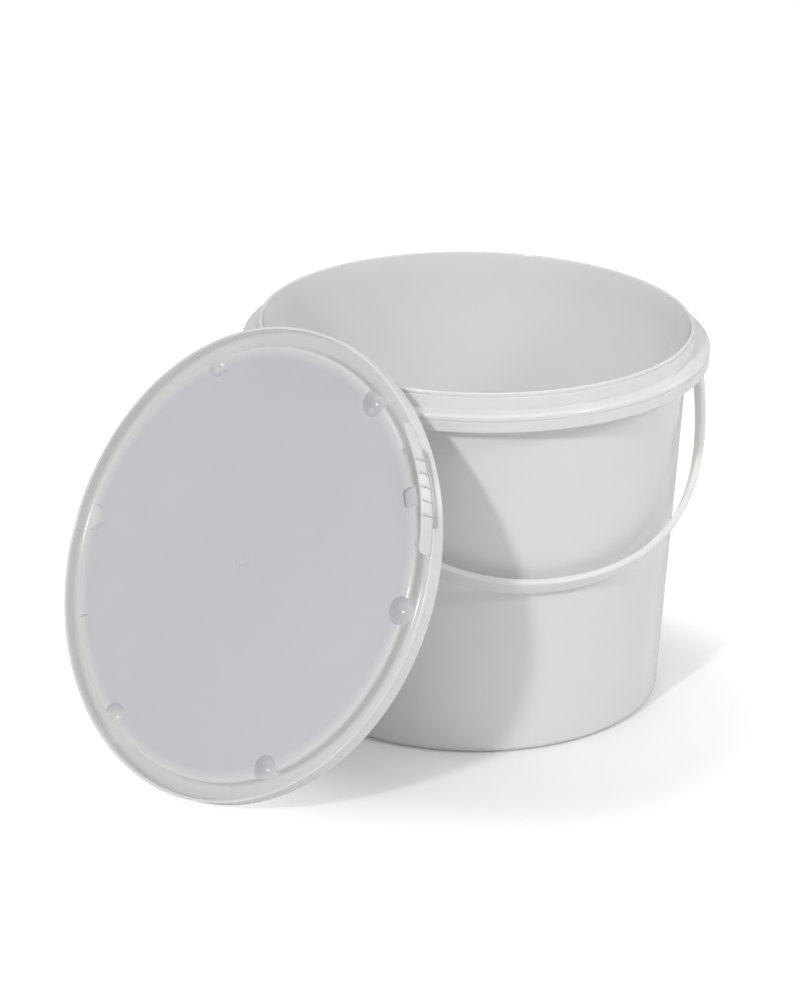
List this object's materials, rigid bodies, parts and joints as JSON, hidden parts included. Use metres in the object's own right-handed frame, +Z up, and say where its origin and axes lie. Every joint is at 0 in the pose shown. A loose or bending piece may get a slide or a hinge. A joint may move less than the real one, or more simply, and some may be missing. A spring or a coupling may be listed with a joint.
{
  "type": "bucket with lid",
  "caption": "Round tapered plastic bucket with a stepped rim and a swinging strap handle, and its press-on lid leaning against the rim with its underside showing.",
  "frame": {"origin": "centre of the bucket's flat base, on the surface it stands on", "axes": "+Z up along the bucket's axis; -Y is the front; the lid leans at the front left"},
  "size_m": [0.3844, 0.3819, 0.2523],
  "materials": {
    "bucket_plastic": "white moulded polypropylene, semi-gloss",
    "handle_plastic": "white moulded polypropylene, semi-gloss",
    "lid_plastic": "white moulded polypropylene, satin"
  },
  "bodies": {
    "bucket_body": {"bucket": "bucket_plastic", "lid": "lid_plastic"},
    "handle_body": {"handle": "handle_plastic"}
  },
  "joints": [
    {"name": "handle_swing", "type": "hinge", "parent": "bucket_body", "child": "handle_body", "pos_m": [0, 0, 0.21], "axis": [-0.907, -0.421, 0], "range_deg": [0, 28]}
  ]
}
